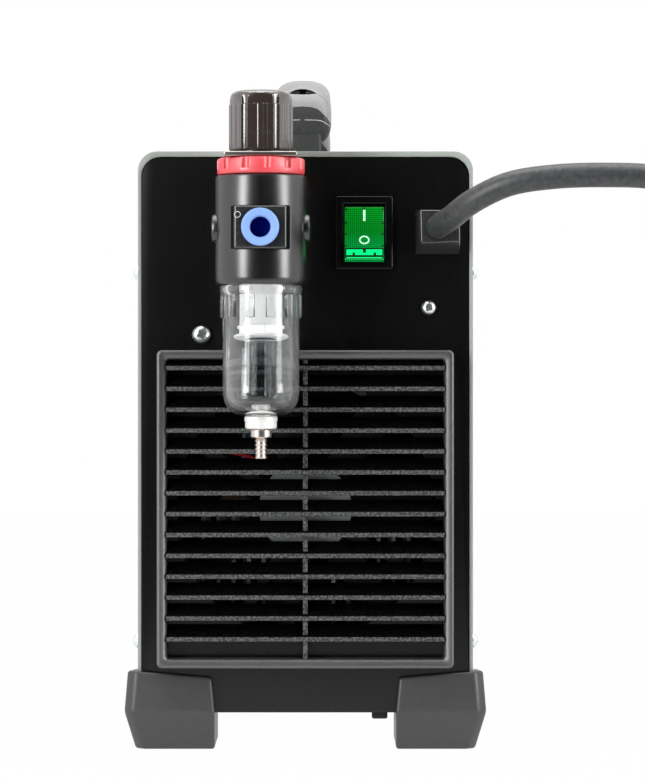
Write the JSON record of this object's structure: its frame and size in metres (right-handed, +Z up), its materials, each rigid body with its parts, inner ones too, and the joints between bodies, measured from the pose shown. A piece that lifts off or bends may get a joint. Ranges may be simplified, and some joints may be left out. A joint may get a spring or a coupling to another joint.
{
  "type": "plasma cutter unit",
  "caption": "Inverter plasma cutter unit with carrying handle, fan grille, lit rocker switch, air filter-regulator, corner feet and a control panel.",
  "frame": {"origin": "on the floor below the middle of the machine, measured without its mains cord", "axes": "+Z up, +Y from the rear panel (fan, switch, regulator) towards the control panel, X across the case"},
  "size_m": [0.455, 0.4191, 0.3012],
  "materials": {
    "black_paint": "fine textured black powder coat",
    "cover_paint": "satin light grey powder coat",
    "zinc": "bright zinc plate",
    "nickel": "polished nickel plate",
    "brass": "machined brass",
    "copper": "enamelled copper winding",
    "aluminium": "extruded aluminium",
    "ferrite": "matt ferrite",
    "grille_plastic": "fine textured moulding",
    "black_plastic": "smooth moulding",
    "knob_plastic": "glossy fluted moulding",
    "red_plastic": "glossy red moulding",
    "blue_plastic": "blue moulding",
    "lit_green": "lit translucent green lens",
    "clear_plastic": "clear polycarbonate",
    "white_plastic": "white moulding",
    "grey_plastic": "satin light grey and black moulding",
    "rubber": "dark grey rubber",
    "cord": "smooth grey cord sheath",
    "board": "green circuit board",
    "amber": "amber lamp lens",
    "window": "dark display window"
  },
  "bodies": {
    "case": {"air_hose": "blue_plastic", "air_valve": "brass", "base_plate": "zinc", "base_stud": "grille_plastic", "bowl_separator": "white_plastic", "bowl_shield": "clear_plastic", "capacitor": "black_plastic", "cord_gland": "grille_plastic", "display_window": "window", "earth_socket": "grille_plastic", "fan_frame": "grille_plastic", "fan_grille": "grille_plastic", "foot_front_left": "rubber", "foot_front_right": "rubber", "foot_rear_left": "rubber", "foot_rear_right": "rubber", "front_panel": "black_paint", "handle": "grey_plastic", "handle_screw_front": "zinc", "handle_screw_rear": "zinc", "heat_sink_left": "aluminium", "heat_sink_right": "aluminium", "inlet_block": "grille_plastic", "lamp_strip": "amber", "lock_ring": "red_plastic", "main_board": "board", "mains_coil": "cord", "mains_cord": "cord", "mains_plug": "black_plastic", "mode_bezel": "black_plastic", "outlet_elbow": "brass", "outlet_nipple": "brass", "panel_screw_left": "zinc", "panel_screw_right": "zinc", "plug_pin_far": "nickel", "plug_pin_near": "nickel", "port_plug_left": "black_plastic", "port_plug_right": "black_plastic", "potentiometer": "zinc", "rear_panel": "black_paint", "regulator_body": "black_plastic", "regulator_bonnet": "black_plastic", "regulator_bracket": "zinc", "signal_socket": "zinc", "switch_bezel": "black_plastic", "top_cover": "cover_paint", "torch_connector": "brass", "transformer_core": "ferrite", "transformer_winding": "copper", "valve_coil": "black_plastic"},
    "power_rocker": {"switch_rocker": "lit_green"},
    "mode_rocker_body": {"mode_rocker": "black_plastic"},
    "current_dial": {"current_knob": "black_plastic"},
    "rotor": {"fan_rotor": "grille_plastic"},
    "pressure_screw": {"regulator_spindle": "nickel"},
    "pull_knob": {"regulator_knob": "knob_plastic"},
    "bowl": {"filter_bowl": "clear_plastic", "drain_nut": "nickel"},
    "drain": {"drain_cock": "nickel"},
    "collar": {"release_collar": "blue_plastic"}
  },
  "joints": [
    {"name": "power_switch", "type": "hinge", "parent": "case", "child": "power_rocker", "pos_m": [0.0258, -0.1504, 0.2264], "axis": [1, 0, 0], "range_deg": [0, 16]},
    {"name": "mode_switch", "type": "hinge", "parent": "case", "child": "mode_rocker_body", "pos_m": [-0.032, 0.1814, 0.164], "axis": [0, 0, 1], "range_deg": [-16, 0]},
    {"name": "current_adjust", "type": "hinge", "parent": "case", "child": "current_dial", "pos_m": [0.03, 0.1806, 0.164], "axis": [0, 1, 0], "range_deg": [-150, 150]},
    {"name": "fan_spin", "type": "hinge", "parent": "case", "child": "rotor", "pos_m": [0, -0.1494, 0.1054], "axis": [0, 1, 0], "continuous": true},
    {"name": "pressure_adjust", "type": "hinge", "parent": "case", "child": "pressure_screw", "pos_m": [-0.019, -0.1804, 0.25], "axis": [0, 0, 1], "range_deg": [-720, 720]},
    {"name": "knob_pull", "type": "slide", "parent": "pressure_screw", "child": "pull_knob", "axis": [0, 0, 1], "range_m": [0, 0.003]},
    {"name": "bowl_turn", "type": "hinge", "parent": "case", "child": "bowl", "pos_m": [-0.019, -0.1804, 0.2], "axis": [0, 0, 1], "range_deg": [0, 45]},
    {"name": "drain_turn", "type": "hinge", "parent": "bowl", "child": "drain", "pos_m": [-0.019, -0.1804, 0.14], "axis": [0, 0, 1], "range_deg": [0, 180]},
    {"name": "collar_push", "type": "slide", "parent": "case", "child": "collar", "axis": [0, 1, 0], "range_m": [0, 0.0015], "stiffness_N_per_m": 500, "springref_m": -0.001}
  ]
}
